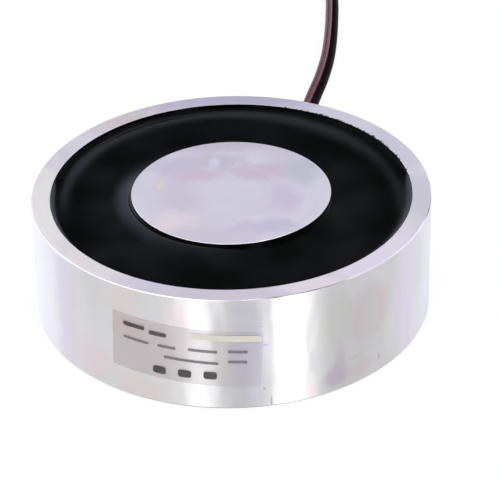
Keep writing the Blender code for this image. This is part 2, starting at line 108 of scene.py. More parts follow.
# Plating: colours of the holding face and of the wall, and the soft patches in them: middle, half
# width and height, and colour. On the face they go by x and y, and on the wall by the way round from
# +X and the height. The patches are partly plating colour and partly painted reflection: the rim is
# lighter towards the left and front and darker towards the back and right, a darker band lies along
# the back of the pole, and tall bands of painted reflection run up the wall. The marks are small
# scratches and nicks in the wall
FACE_COLOUR = (0.704, 0.672, 0.722, 1.0)
FACE_CLOUD = (0.650, 0.600, 0.670, 1.0)
WALL_COLOUR = (0.745, 0.738, 0.752, 1.0)
WALL_CLOUD = (0.700, 0.700, 0.700, 1.0)
FACE_PATCHES_AND_PAINTED_REFLECTIONS = (
    (-0.0225, 0.0215, 0.012, 0.006, (0.62, 0.58, 0.68)),
    (-0.006, 0.024, 0.012, 0.006, (0.6, 0.56, 0.63)),
    (-0.0066, 0.0228, 0.0024, 0.0042, (0.7, 0.68, 0.77)),
    (-0.015, 0.014, 0.01, 0.005, (0.66, 0.56, 0.63)),
    (-0.0288, 0.0064, 0.0018, 0.004, (0.75, 0.66, 0.62)),
    (0.013, 0.015, 0.015, 0.007, (0.64, 0.56, 0.63)),
    (0.029, 0.015, 0.006, 0.012, (0.58, 0.57, 0.62)),
    (0.022, -0.007, 0.0058, 0.011, (0.67, 0.58, 0.71)),
    (0.0064, -0.029, 0.0085, 0.005, (0.66, 0.58, 0.69)),
    (0.018, -0.027, 0.0085, 0.005, (0.6, 0.57, 0.68)),
    (-0.023, -0.0215, 0.009, 0.007, (0.78, 0.7, 0.72)),
    (0.0, 0.038, 0.024, 0.006, (0.6, 0.56, 0.62)),
    (-0.074, -0.012, 0.013, 0.034, (0.79, 0.76, 0.75)),
    (-0.056, -0.052, 0.022, 0.016, (0.79, 0.73, 0.74)),
    (-0.002, -0.078, 0.042, 0.01, (0.67, 0.6, 0.64)),
    (0.056, -0.052, 0.024, 0.018, (0.77, 0.7, 0.78)),
    (0.03, -0.07, 0.014, 0.009, (0.8, 0.71, 0.73)),
    (-0.044, 0.064, 0.026, 0.013, (0.65, 0.57, 0.58)),
    (0.004, 0.078, 0.042, 0.011, (0.54, 0.5, 0.58)),
    (0.07, 0.035, 0.013, 0.026, (0.64, 0.61, 0.69)),
    (0.076, -0.008, 0.01, 0.02, (0.62, 0.6, 0.66)),
)
WALL_PATCHES_AND_PAINTED_REFLECTIONS = (
    (-0.0843, 0.031, 0.007, 0.012, (0.69, 0.7, 0.68)),
    (-0.0695, 0.031, 0.0095, 0.012, (0.71, 0.63, 0.68)),
    (-0.0692, 0.03, 0.0045, 0.01, (0.69, 0.67, 0.64)),
    (-0.0461, 0.026, 0.008, 0.026, (0.76, 0.7, 0.79)),
    (-0.0834, 0.013, 0.0024, 0.009, (0.67, 0.6, 0.67)),
    (-0.0856, 0.007, 0.0056, 0.0048, (0.63, 0.55, 0.64)),
    (-0.0726, 0.007, 0.007, 0.0034, (0.73, 0.65, 0.68)),
    (-0.0973, 0.005, 0.003, 0.0035, (0.8, 0.7, 0.72)),
    (-0.203, 0.025, 0.006, 0.04, (0.72, 0.68, 0.76)),
    (-0.1861, 0.009, 0.01, 0.011, (0.76, 0.7, 0.72)),
    (-0.1703, 0.04, 0.007, 0.011, (0.76, 0.69, 0.7)),
    (-0.1649, 0.004, 0.011, 0.007, (0.76, 0.69, 0.7)),
    (-0.1462, 0.041, 0.008, 0.0044, (0.77, 0.7, 0.72)),
    (-0.12, 0.026, 0.007, 0.022, (0.68, 0.67, 0.77)),
)
WALL_MARKS = (
    (-0.0771, 0.0131, 0.0042, 0.0005, (0.63, 0.61, 0.61)),
    (-0.0638, 0.0074, 0.0005, 0.0016, (0.6, 0.55, 0.57)),
    (-0.1143, 0.0292, 0.0011, 0.0004, (0.5, 0.51, 0.56)),
    (-0.1161, 0.0377, 0.0012, 0.0004, (0.56, 0.56, 0.6)),
    (-0.1149, 0.0091, 0.0006, 0.0007, (0.46, 0.46, 0.48)),
    (-0.1122, 0.0024, 0.0004, 0.0026, (0.46, 0.46, 0.48)),
)

# Where a blotch starts to fade and where it ends, and how far its outline frays, in half widths
BLOTCH_EDGE = (1.25, 2.25)
BLOTCH_FRAY = 1.6

# Resin smeared over the rim's inner edge: how fast it ends outwards, how far round it goes in widths
# of the nibs, how much more often it comes there, its soft edge and its colour
SMEAR_FADE = 240.0
SMEAR_SPAN = 1.3
SMEAR_OFTEN = (-0.16, 0.06)
SMEAR_EDGE = (0.50, 0.53)
SMEAR_COLOUR = (28, 26, 30)

# The outer edge of the holding face, with painted highlights where it is bright and painted dark
# reflections where it is dark: azimuth from +X in degrees, and colour. The colour after them is
# painted shade, a dark line along the foot. Wear brings the edge nearer to the face's own colour
EDGE_PAINTED_LIGHT = (
    (-180, (200, 196, 206)), (-154, (196, 192, 200)), (-149, (244, 242, 250)),
    (-98, (240, 236, 246)), (-92, (150, 142, 156)), (-86, (190, 184, 196)),
    (-80, (70, 64, 78)), (-60, (84, 78, 92)), (-56, (236, 232, 246)),
    (-20, (238, 234, 248)), (-16, (64, 60, 76)), (-8, (90, 86, 102)),
    (-4, (196, 192, 208)), (180, (200, 196, 206)),
)
FOOT_PAINTED_SHADE = (150, 142, 152)
EDGE_WEAR = 0.4

# The tapped hole in the back
THREAD_CORE_RADIUS = 0.0051
THREAD_RADIUS = 0.0060
THREAD_PITCH = 0.00175
THREAD_DEPTH = 0.020
COUNTERSINK = 0.0015
DRILL_POINT = radians(118)

# The thread's section: rows of points in a pitch, flat crest and flank as shares of half a pitch, and
# the pitches in which it runs out
THREAD_ROWS = 11
THREAD_CREST = 0.15
THREAD_FLANK = 0.7
THREAD_RUN_OUT = 2

# The lead, as in the solids. The straight runs on either side of its bend are in core radii
CORE_DIAMETER = 0.0034
CORE_RADIUS = CORE_DIAMETER / 2
CORE_PITCH = CORE_DIAMETER + CLEARANCE
WEB_HALF = 0.00045
CABLE_ANGLE = radians(76.5)
CABLE_HEIGHT = 0.01865
BUSH_NECK_RADIUS = 0.00505
BUSH_COLLAR = 0.0018
BUSH_COLLAR_RADIUS = 0.00715
BUSH_NOSE = 0.0045
BUSH_NECK_START = 0.0723
SLEEVE_TURN = radians(17)
SLEEVE_LENGTH = 0.016
SLEEVE_GRIP = 0.005
SLEEVE_RUN = 0.066
BEND_IN = 2.4
BEND_OUT = 2.6
LEAD_STEPS = 6
CORE_SIDES = 44

# The cut end of a core: how its edge narrows, and how wide and deep its hole round the strands is
CUT_EDGE = (0.96, 0.90)
STRIP_FIT = 1.12
STRIP_DEPTH = 0.0008
HAIR = 0.00001

# The tinned strands, twisted
TINNED_DIAMETER = 0.0012
TINNED_LENGTH = 0.008
STRAND_SIDES = 42
STRAND_LOBES = 7
STRAND_RINGS = 40
STRAND_DEPTH = 0.16
STRAND_TWIST = 2.2 * pi

# The bush: its edges, and the ribs round its nose, which get lower towards its tip
BUSH_SEGMENTS = 96
BORE_STEPS = 20
BUSH_BLEND = 0.0003
BUSH_SUPPORT = 0.0001
BUSH_SHARP = radians(35)
BUSH_TIP_STEP = 0.0005
BUSH_FOOT_STEP = 0.0004
RIB_COUNT = 3
RIB_START = 0.16
RIB_PITCH = 0.26
RIB_RISE = 0.00035
RIB_TAPER = 0.0002
RIB_DEPTH = 0.0004
RIB_WIDTH = 0.0008
RIB_FLANK = 0.0002

# Where the lead lies: x, y, height of its underside, tilt of the pair in degrees
# (red core up) and how far each core stands off the other's side
LEAD_ROUTE = (
    (0.0219, 0.0914, 0.0164, 0, 0.0), (0.0243, 0.1011, 0.0136, 2, 0.0), (0.0271, 0.1128, 0.0086, 6, 0.0),
    (0.0299, 0.1245, 0.0038, 10, 0.0), (0.0327, 0.1361, 0.0009, 15, 0.0), (0.0355, 0.1478, 0.0, 20, 0.0),
    (0.0403, 0.1672, 0.0, 27, 0.0), (0.0440, 0.1819, 0.0, 30, 0.0), (0.0479, 0.2021, 0.0, 32, 0.0),
    (0.0504, 0.2230, 0.0, 34, 0.0), (0.0521, 0.2446, 0.0, 35, 0.0), (0.0532, 0.2668, 0.0, 34, 0.0),
    (0.0525, 0.2815, 0.0, 28, 0.0), (0.0488, 0.2960, 0.0, 18, 0.0), (0.0415, 0.3090, 0.0, 8, 0.0),
    (0.0308, 0.3188, 0.0, 0, 0.0008), (0.0175, 0.3250, 0.0, 0, 0.0034), (0.0030, 0.3272, 0.0, 0, 0.0062),
    (-0.0075, 0.3268, 0.0, 0, 0.0078),
)

# Resin, dished between the rim and the pole
RESIN_SEGMENTS = 720
RESIN_RINGS = 100
RESIN_SAG = 0.0024
RESIN_LIP_DROP = 0.0001
RESIN_POLE_DROP = POLE_CHAMFER + FINE_GAP
RESIN_SHARP = radians(50)

# The resin clings to both steel walls as a thin film, stands in a low shoulder along the rim at the
# back and the sides, and turns up the rim in a narrow fillet at the sides and the front. Each span is
# of the sine of the way round: where the form starts and where it is full. The wide fillet has its
# middle and width, in degrees from +X, and how much wider it is
RESIN_FILM = 0.00012
SHOULDER_RISE = 0.00115
SHOULDER_REACH = 0.0070
SHOULDER_SPAN = (-0.65, 0.0)
FILLET_RISE = 0.0011
FILLET_WIDTH = 0.0008
FILLET_SPAN = (0.24, 0.0)
WIDE_FILLET = (-35, 36, 0.0014)

# Swells of the resin, as middle and width in degrees. Along the rim: how much more rise and reach
# the shoulder has. Against the pole: rise and reach, and a gentle rise all round it
RIM_SWELLS = (
    (148, 32, 0.0006, 0.0),
    (46, 32, 0.0009, 0.0030),
)
POLE_SWELLS = (
    (184, 46, 0.0008, 0.0086),
    (252, 30, 0.0010, 0.0300),
)
POLE_RISE = 0.00022
POLE_REACH = 0.0180

# Low ridges: middle and width in degrees, rise, distance from the pole or the rim, and breadth
POLE_RIDGE = (212, 24, 0.00028, 0.0013, 0.00035)
FLOW_CREASE = (121, 13, 0.0002, 0.0055, 0.0004)
RESIN_RIPPLE = 0.00005
RIPPLE_GRAIN = 70.0

# Nibs, where resin ran over the steel's edge: middle and width in degrees, reach over the edge, and
# the noise that they come from: grain, level, more in the middle, and slope
NIBS = (40, 34)
NIB_REACH = 0.00034
NIB_GRAIN = 55.0
NIB_LEVEL = 0.62
NIB_OFTEN = 0.45
NIB_SLOPE = 4.0

# Satin of the resin
RESIN_GLOSS = 0.205
RESIN_TINT = (0.66, 0.78, 1.0, 1.0)

# Label film on the wall
LABEL_WIDTH = 0.060
LABEL_HEIGHT = 0.025
LABEL_ANGLE = radians(-104.2)
LABEL_MIDDLE = 0.0243
LABEL_SKEW = radians(-2.5)
LABEL_ADHESIVE = 0.0001
LABEL_THICKNESS = 0.0002
LABEL_CORNER = 0.0010
LABEL_BORDER = 0.0002
FILM_COLUMN = 0.0015
FILM_FADE = (radians(-112), radians(-88))
FILM_CLEARER = 0.35
INK_THICKNESS = 0.00002

# Plain bars on the film: middle across and up, width and height. Their corners are a share of their
# height
BAR_CORNER = 0.3
BOLD_BARS = (
    (-0.0205, 0.0084, 0.0090, 0.0018),
    (-0.0105, 0.0075, 0.0070, 0.0018),
    (-0.0096, -0.0088, 0.0052, 0.0034),
    (0.0005, -0.0084, 0.0052, 0.0034),
    (0.0104, -0.0079, 0.0052, 0.0034),
)
FINE_BARS = (
    (-0.0195, 0.0022, 0.0108, 0.0012),
    (-0.0068, 0.0024, 0.0072, 0.0012),
    (0.0073, 0.0030, 0.0112, 0.0012),
    (0.0207, 0.0034, 0.0074, 0.0012),
    (0.0028, -0.0022, 0.0212, 0.0012),
    (0.0207, -0.0012, 0.0074, 0.0012),
)
COVER_STRIP = ((0.0158, 0.0094, 0.0276, 0.0027),)


def make_camera():
    data = bpy.data.cameras.new("camera")
    data.lens = CAMERA_LENS
    data.sensor_width = CAMERA_SENSOR
    camera = add_object("camera", data)
    back = Vector((0.0, -cos(CAMERA_ELEVATION), sin(CAMERA_ELEVATION)))
    place = Vector((0.0, 0.0, POT_HEIGHT)) + back * CAMERA_DISTANCE
    pitch = CAMERA_TILT - CAMERA_ELEVATION
    level = Vector((sin(CAMERA_PAN), cos(CAMERA_PAN), 0.0))
    forward = level * cos(pitch) + Vector((0.0, 0.0, sin(pitch)))
    right = forward.cross(Vector((0.0, 0.0, 1.0))).normalized()
    up = right.cross(forward)
    turn = Matrix((right, up, -forward)).transposed() @ Matrix.Rotation(CAMERA_ROLL, 3, "Z")
    camera.matrix_world = Matrix.Translation(place) @ turn.to_4x4()
    data.clip_start, data.clip_end = CAMERA_CLIP
    bpy.context.scene.camera = camera
    bpy.context.scene.view_settings.view_transform = "Standard"


class Nodes:
    """Short calls for the nodes of one material or world."""

    def __init__(self, tree):
        self.tree = tree

    def add(self, kind, inputs=None, **settings):
        node = self.tree.nodes.new("ShaderNode" + kind)
        for name, value in settings.items():
            setattr(node, name, value)
        for name, value in (inputs or {}).items():
            self.feed(node.inputs[name], value)
        return node

    def feed(self, socket, value):
        if isinstance(value, bpy.types.NodeSocket):
            self.tree.links.new(value, socket)
        else:
            socket.default_value = value

    def drive(self, shader, **values):
        """Feeds the shader's own sockets, with _ for a space in their names."""
        for name, value in values.items():
            self.feed(shader.inputs[name.replace("_", " ")], value)

    def math(self, operation, *values):
        node = self.add("Math", operation=operation)
        for socket, value in zip(node.inputs, values):
            self.feed(socket, value)
        return node.outputs["Value"]

    def times(self, one, other):
        return self.math("MULTIPLY", one, other)

    def ramp(self, value, low, high, start=0.0, end=1.0):
        """A smooth step of a value between two marks."""
        marks = {"Value": value, "From Min": low, "From Max": high, "To Min": start, "To Max": end}
        return self.add("MapRange", marks, interpolation_type="SMOOTHSTEP").outputs["Result"]

    def mix(self, factor, one, other):
        """A colour between two colours."""
        node = self.add("Mix", data_type="RGBA")
        for socket, value in ((node.inputs[0], factor), (node.inputs[6], one), (node.inputs[7], other)):
            self.feed(socket, value)
        return node.outputs[2]

    def vector(self, x, y, z):
        return self.add("CombineXYZ", {"X": x, "Y": y, "Z": z}).outputs["Vector"]

    def noise(self, vector, scale, detail=2.0, roughness=0.5):
        marks = {"Vector": vector, "Scale": scale, "Detail": detail, "Roughness": roughness}
        return self.add("TexNoise", marks).outputs["Fac"]

    def bump(self, height, distance, strength=1.0):
        marks = {"Height": height, "Distance": distance, "Strength": strength}
        return self.add("Bump", marks).outputs["Normal"]

    def place(self):
        return self.add("TexCoord").outputs["Object"]

    def split(self, vector):
        parts = self.add("SeparateXYZ", {"Vector": vector}).outputs
        return parts["X"], parts["Y"], parts["Z"]

    def round_axis(self):
        """Distance from the turning axis, height, and the two parts of the way out from the axis."""
        x, y, z = self.split(self.place())
        squares = self.times(x, x), self.times(y, y)
        radius = self.math("SQRT", self.math("ADD", *squares))
        return radius, z, self.math("DIVIDE", x, radius), self.math("DIVIDE", y, radius)

    def round_tangent(self):
        return self.add("Tangent", direction_type="RADIAL", axis="Z").outputs["Tangent"]


def rgb(red, green, blue):
    """A colour as it looks on screen, 0 to 255, as the shader's own linear values."""
    shares = (c / 255 for c in (red, green, blue))
    return (*(s / 12.92 if s <= 0.04045 else ((s + 0.055) / 1.055) ** 2.4 for s in shares), 1.0)


def new_material(name, colour, roughness, **values):
    """A Principled material, its nodes, and the shader."""
    material = bpy.data.materials.new(name)
    material.use_nodes = True
    nodes = Nodes(material.node_tree)
    shader = material.node_tree.nodes["Principled BSDF"]
    nodes.drive(shader, Base_Color=colour, Roughness=roughness, **values)
    return material, nodes, shader


def blotched(nodes, across, up, colour, blotches, fray_grain):
    """A colour with soft-edged blotches: middle across and up, half width and height, and colour."""
    spot = nodes.vector(across, up, 0.0)
    fray = nodes.noise(spot, fray_grain)
    for x, y, half_x, half_y, tint in blotches:
        fit = {"Location": (-x / half_x, -y / half_y, 0.0), "Scale": (1 / half_x, 1 / half_y, 0.0)}
        inside = nodes.add("Mapping", {"Vector": spot, **fit}).outputs["Vector"]
        reach = nodes.add("VectorMath", {0: inside}, operation="LENGTH").outputs["Value"]
        reach = nodes.math("MULTIPLY_ADD", fray, BLOTCH_FRAY, reach)
        colour = nodes.mix(nodes.ramp(reach, *BLOTCH_EDGE, 1.0, 0.0), colour, (*tint, 1.0))
    return colour


def resin_smears(nodes, radius, toward):
    """Where resin is smeared over the rim's inner edge, from 0 to 1."""
    middle, width = (radians(part) for part in NIBS)
    facing = nodes.add("VectorMath", {0: toward, 1: polar(1.0, middle, 0.0)}, operation="DOT_PRODUCT")
    often = nodes.ramp(facing.outputs["Value"], cos(SMEAR_SPAN * width), 1.0, *SMEAR_OFTEN)
    reach = nodes.math("SUBTRACT", radius, RIM_INNER)
    ragged = nodes.math("MULTIPLY_ADD", reach, -SMEAR_FADE, nodes.noise(toward, 75.0))
    return nodes.ramp(nodes.math("ADD", ragged, often), *SMEAR_EDGE)


def ground_steel(name, smeared=False, **finish):
    """The holding face and the back: ground flat and plated, with fine rings, and faint patches partly of
    painted reflection.
    """
    material, nodes, shader = new_material(name, FACE_COLOUR, 0.5, Metallic=1.0, **finish)
    radius, _, out_x, out_y = nodes.round_axis()
    rings = nodes.noise(nodes.vector(nodes.times(radius, RING_GRAIN), out_x, out_y), 1.0, 3.0)
    cloud = nodes.ramp(nodes.noise(nodes.place(), 34.0, 1.5, 0.4), 0.35, 0.70)
    colour = nodes.mix(cloud, FACE_COLOUR, FACE_CLOUD)
    x, y, _ = nodes.split(nodes.place())
    # Patches of plating colour and of painted reflection
    colour = blotched(nodes, x, y, colour, FACE_PATCHES_AND_PAINTED_REFLECTIONS, 130.0)
    if smeared:
        smears = resin_smears(nodes, radius, nodes.vector(out_x, out_y, 0.0))
        colour = nodes.mix(smears, colour, rgb(*SMEAR_COLOUR))
    nodes.drive(shader, Base_Color=colour, Roughness=nodes.ramp(rings, 0.3, 0.7, 0.46, 0.54))
    nodes.drive(shader, Normal=nodes.bump(rings, RING_DEPTH), Tangent=nodes.round_tangent())
    return material


def turned_steel():
    """The turned wall: fine grooves round the axis spread each reflection along it."""
    finish = {"Metallic": 1.0, "Anisotropic": 1.0, "Anisotropic_Rotation": 0.25}
    material, nodes, shader = new_material("turned_steel", WALL_COLOUR, 0.45, **finish)
    _, height, out_x, out_y = nodes.round_axis()
    grooves = nodes.noise(nodes.vector(nodes.times(height, GROOVE_GRAIN), out_x, out_y), 1.0, 3.0)
    up, round_it = WAVE_STRETCH
    stretched = nodes.vector(
        nodes.times(height, up),
        nodes.times(out_x, round_it),
        nodes.times(out_y, round_it),
    )
    cloud = nodes.ramp(nodes.noise(stretched, 1.2, 1.5, 0.4), 0.40, 0.70)
    colour = nodes.mix(cloud, WALL_COLOUR, WALL_CLOUD)
    along = nodes.times(nodes.math("ARCTAN2", out_y, out_x), POT_RADIUS)
    # Patches of plating colour, tall bands of painted reflection, and scratches and nicks
    colour = blotched(nodes, along, height, colour, WALL_PATCHES_AND_PAINTED_REFLECTIONS + WALL_MARKS, 90.0)
    waves = nodes.times(nodes.noise(stretched, 1.3, 2.0, 0.6), WALL_WAVES / WALL_GROOVES)
    normal = nodes.bump(nodes.math("ADD", grooves, waves), WALL_GROOVES)
    nodes.drive(shader, Base_Color=colour, Normal=normal, Tangent=nodes.round_tangent())
    return material


def turn_ramp(nodes, turn, rows):
    """Colours by the way round: rows of azimuth from +X in degrees, -180 to 180, and linear colour."""
    ramp = nodes.add("ValToRGB", {"Fac": nodes.math("MULTIPLY_ADD", turn, 0.5 / pi, 0.5)})
    stops = ramp.color_ramp.elements
    while len(stops) < len(rows):
        stops.new(0.5)
    for stop, (azimuth, colour) in zip(stops, rows):
        stop.position = azimuth / 360 + 0.5
        stop.color = colour
    return ramp.outputs["Color"]


def painted_edge_light():
    """The outer chamfers: painted highlights and painted dark reflections round the top, and painted shade
    along the foot.
    """
    material, nodes, shader = new_material("painted_edge_light", rgb(240, 238, 244), 0.28, Metallic=1.0)
    _, height, out_x, out_y = nodes.round_axis()
    turn = nodes.math("ARCTAN2", out_y, out_x)
    # Painted highlights and painted dark reflections along the edge, by azimuth
    tone = turn_ramp(nodes, turn, [(azimuth, rgb(*colour)) for azimuth, colour in EDGE_PAINTED_LIGHT])
    uneven = nodes.noise(nodes.vector(out_x, out_y, height), 14.0, 3.0)
    worn = nodes.ramp(uneven, 0.3, 0.7, 0.0, EDGE_WEAR)
    tone = nodes.mix(worn, tone, FACE_COLOUR)
    # Painted shade below half height: a dark line along the foot chamfer, and the tapped hole with it
    foot = nodes.math("LESS_THAN", height, POT_HEIGHT / 2)
    colour = nodes.mix(foot, tone, rgb(*FOOT_PAINTED_SHADE))
    nodes.drive(shader, Base_Color=colour, Roughness=nodes.ramp(worn, 0.0, EDGE_WEAR, 0.24, 0.34))
    return material


def clouded(name, colour, other, roughness, clouds, grain, depth, uneven=0.0, patchy=None, **values):
    """Soft clouds from one colour to another, and a fine grain, each by its repeats in a metre.

    uneven is how far the roughness follows the clouds, and patchy the span of them that shows.
    """
    material, nodes, shader = new_material(name, colour, roughness, **values)
    cloud = nodes.noise(nodes.place(), clouds, 3.0)
    share = nodes.ramp(cloud, *patchy) if patchy else cloud
    normal = nodes.bump(nodes.noise(nodes.place(), grain), depth)
    nodes.drive(shader, Base_Color=nodes.mix(share, colour, other), Normal=normal)
    if uneven:
        nodes.drive(shader, Roughness=nodes.ramp(cloud, 0.3, 0.7, roughness - uneven, roughness + uneven))
    return material


def black_resin():
    """Cast epoxy, satin, with a faint haze in it."""
    satin = {"uneven": 0.03, "Specular_IOR_Level": RESIN_GLOSS, "Specular_Tint": RESIN_TINT}
    return clouded("black_resin", rgb(2, 3, 1), rgb(4, 5, 3), 0.18, 40.0, 90.0, 0.00006, **satin)


def insulation(name, deep, worn, gloss):
    """Soft extruded insulation, with a faint bloom along it."""
    bloom = {"uneven": 0.05, "patchy": (0.35, 0.75)}
    return clouded(name, deep, worn, 0.25, 160.0, 900.0, 0.00002, Specular_IOR_Level=gloss, **bloom)


def moulded(name, colour, other, roughness, grain):
    """A matt moulded or drawn surface."""
    return clouded(name, colour, other, roughness, 120.0, grain, 0.00003, uneven=0.06)


def metal(name, colour, other, roughness, grain):
    return clouded(name, colour, other, roughness, 300.0, grain, 0.00002, Metallic=1.0)


def film_material(name, colour, other, alpha):
    """Clear film over the plated wall, faintly tinted, and clearer towards its right end."""
    material, nodes, shader = new_material(name, colour, 0.24)
    _, _, out_x, out_y = nodes.round_axis()
    clear = nodes.ramp(nodes.math("ARCTAN2", out_y, out_x), *FILM_FADE, alpha, alpha * FILM_CLEARER)
    tint = nodes.mix(nodes.noise(nodes.place(), 70.0), colour, other)
    normal = nodes.bump(nodes.noise(nodes.place(), 130.0), 0.00002)
    nodes.drive(shader, Alpha=clear, Base_Color=tint, Normal=normal)
    return material


def label_ink(name, colour, worn_colour, alpha):
    """Thin ink on the film, a little worn."""
    material, nodes, shader = new_material(name, colour, 0.5, Alpha=alpha)
    worn = nodes.ramp(nodes.noise(nodes.place(), 2600.0), 0.35, 0.7)
    nodes.drive(shader, Base_Color=nodes.mix(worn, colour, worn_colour))
    return material


def add_object(name, data, *materials):
    obj = bpy.data.objects.new(name, data)
    bpy.context.scene.collection.objects.link(obj)
    for material in materials:
        data.materials.append(material)
    return obj


def piece(obj, slot, *nodes):
    """A finished piece: it rides on the body and stands for the solids named."""
    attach(obj, BODY)
    if nodes:
        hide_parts(*nodes)
    return obj


def mesh_of(name, points, faces):
    mesh = bpy.data.meshes.new(name)
    mesh.from_pydata(points, [], faces)
    mesh.validate()
    mesh.shade_smooth()
    return mesh


def polar(radius, angle, height):
    return Vector((radius * cos(angle), radius * sin(angle), height))


def arc(middle, radius, start, end, steps):
    """Points of an arc about a (radius, height) middle, angles in degrees."""
    turns = [radians(start + (end - start) * i / steps) for i in range(steps + 1)]
    return [(middle[0] + radius * cos(a), middle[1] + radius * sin(a)) for a in turns]


def blended(profile, radius, steps=3):
    """The profile with each of its corners rounded, and its ends as they are."""
    smooth = [profile[0]]
    for before, corner, after in zip(profile, profile[1:], profile[2:]):
        before, corner, after = Vector(before), Vector(corner), Vector(after)
        back, on = before - corner, after - corner
        reach = min(radius, back.length / 3, on.length / 3)
        start, end = corner + back.normalized() * reach, corner + on.normalized() * reach
        for i in range(steps + 1):
            along = i / steps
            smooth.append(tuple(start.lerp(corner, along).lerp(corner.lerp(end, along), along)))
    smooth.append(profile[-1])
    return smooth


def supported(profile, inset=SUPPORT):
    """The profile with a point near each end of its long stretches, which keeps their shading flat."""
    full = [profile[0]]
    for one, other in itertools.pairwise(profile):
        start, end = Vector(one), Vector(other)
        span = (end - start).length
        if span > 3 * inset:
            full += [tuple(start.lerp(end, inset / span)), tuple(end.lerp(start, inset / span))]
        full.append(other)
    return full


def turned(name, profile, segments, shape=None):
    """A mesh turned round Z from (radius, height) points. An end on the axis closes in a point.

    shape(radius, height, angle) may move each point of the turned surface.
    """
    points, rings = [], []
    for radius, height in profile:
        if radius == 0.0:
            rings.append([len(points)] * segments)
            points.append((0.0, 0.0, height))
            continue
        rings.append(list(range(len(points), len(points) + segments)))
        for i in range(segments):
            angle = 2 * pi * i / segments
            r, z = shape(radius, height, angle) if shape else (radius, height)
            points.append((r * cos(angle), r * sin(angle), z))
    if profile[0][0] > 0.0:
        rings.append(rings[0])
    faces = []
    for one, other in itertools.pairwise(rings):
        for i in range(segments):
            j = (i + 1) % segments
            corners = (one[i], other[i], other[j], one[j])
            faces.append(tuple(dict.fromkeys(corners)))
    return mesh_of(name, points, faces)


def carve(obj, cutters):
    """Takes every cutter out of a piece and drops the cutters."""
    for cutter in cutters:
        cut = obj.modifiers.new(cutter.name, "BOOLEAN")
        cut.operation = "DIFFERENCE"
        cut.solver = "EXACT"
        cut.object = cutter
    bpy.context.view_layer.update()
    graph = bpy.context.evaluated_depsgraph_get()
    mesh = bpy.data.meshes.new_from_object(obj.evaluated_get(graph))
    obj.modifiers.clear()
    obj.data = mesh
    for cutter in cutters:
        bpy.data.objects.remove(cutter)


def face_outwards(obj):
    """Turns a piece made along +Z to point out of the wall where the lead leaves."""
    turn = Matrix.Rotation(CABLE_ANGLE, 4, "Z") @ Matrix.Rotation(pi / 2, 4, "Y")
    obj.matrix_world = Matrix.Translation((0.0, 0.0, CABLE_HEIGHT)) @ turn


def ways_along(path):
    """The way that a path runs at each of its points."""
    last = len(path) - 1
    return [(path[min(i + 1, last)] - path[max(i - 1, 0)]).normalized() for i in range(last + 1)]


def smooth_spans(knots, steps):
    """Points of one smooth curve through the knots, as many in each span."""
    path = [knots[0]]
    for (start, leaving), (end, arriving) in itertools.pairwise(zip(knots, ways_along(knots))):
        reach = (end - start).length / 3
        handles = start + leaving * reach, end - arriving * reach
        path += interpolate_bezier(start, *handles, end, steps + 1)[1:]
    return path


def core_knots(side):
    """A core from its joint sleeve, along the channel, out through the bush and on to its bared end."""
    angle = CABLE_ANGLE + side * SLEEVE_TURN
    middle = polar(SLEEVE_RUN, angle, CABLE_HEIGHT)
    away = Vector((-sin(angle), cos(angle), 0.0)) * side
    out = polar(1.0, CABLE_ANGLE, 0.0)
    across = Vector((-out.y, out.x, 0.0)) * side * CORE_PITCH / 2
    level = Vector((0.0, 0.0, CABLE_HEIGHT))
    half = SLEEVE_LENGTH / 2
    knots = [
        middle + away * (SLEEVE_GRIP - half),
        middle - away * half,
        middle - away * (half + CORE_RADIUS * BEND_IN),
        out * (SLEEVE_RUN + CORE_RADIUS * BEND_OUT) + across + level,
        out * RIM_INNER + across + level,
        out * (POT_RADIUS + RIM_INNER) / 2 + across + level,
    ]
    nose = POT_RADIUS + CLEARANCE + BUSH_COLLAR + BUSH_NOSE
    rows = [(out * radius + level, 0.0, 0.0) for radius in (POT_RADIUS, nose)]
    for x, y, under, tilt, spread in LEAD_ROUTE:
        lean = radians(tilt)
        height = under + CORE_RADIUS + CORE_PITCH / 2 * sin(lean)
        rows.append((Vector((x, y, height)), lean, spread))
    for i, (place, lean, spread) in enumerate(rows):
        way = rows[min(i + 1, len(rows) - 1)][0] - rows[max(i - 1, 0)][0]
        left = Vector((-way.y, way.x, 0.0)).normalized()
        lean_way = left * cos(lean) + Vector((0.0, 0.0, sin(lean)))
        knots.append(place + lean_way * side * (CORE_PITCH / 2 + spread))
    return knots


def core_path(side):
    path = smooth_spans(core_knots(side), LEAD_STEPS)
    for place in path:
        place.z = max(place.z, CORE_RADIUS)
    return path


def swept(name, path, facing, outline, ends):
    """A closed mesh of an outline carried along a path.

    facing holds, for each path point, the way that the outline's own +X looks. Each row of
    ends is (how far along, scale): more rings of the same outline past the path's end.
    """
    ways = ways_along(path)
    frames = list(zip(path, ways, facing, [1.0] * len(path)))
    frames += [(path[-1] + ways[-1] * along, ways[-1], facing[-1], scale) for along, scale in ends]
    points, sides = [], len(outline)
    for place, way, face, scale in frames:
        x_way = (face - way * face.dot(way)).normalized()
        y_way = way.cross(x_way)
        points += [tuple(place + (x_way * x + y_way * y) * scale) for x, y in outline]
    faces = []
    for ring in range(len(frames) - 1):
        for i in range(sides):
            j = (i + 1) % sides
            low, high = ring * sides, (ring + 1) * sides
            faces.append((low + i, low + j, high + j, high + i))
    faces.append(tuple(reversed(range(sides))))
    faces.append(tuple(range(len(points) - sides, len(points))))
    mesh = mesh_of(name, points, faces)
    mesh.set_sharp_from_angle(angle=SHARP_ANGLE)
    return mesh


def core_outline():
    """A core's round section, with the stub of web that bonds it to its neighbour on +X."""
    outline = []
    web_reach = CORE_PITCH / 2 - FINE_GAP / 2
    for i in range(CORE_SIDES):
        angle = 2 * pi * (i + 0.5) / CORE_SIDES
        x, y = CORE_RADIUS * cos(angle), CORE_RADIUS * sin(angle)
        if x > 0.0 and abs(y) < WEB_HALF:
            x = web_reach
        outline.append((x, y))
    return outline


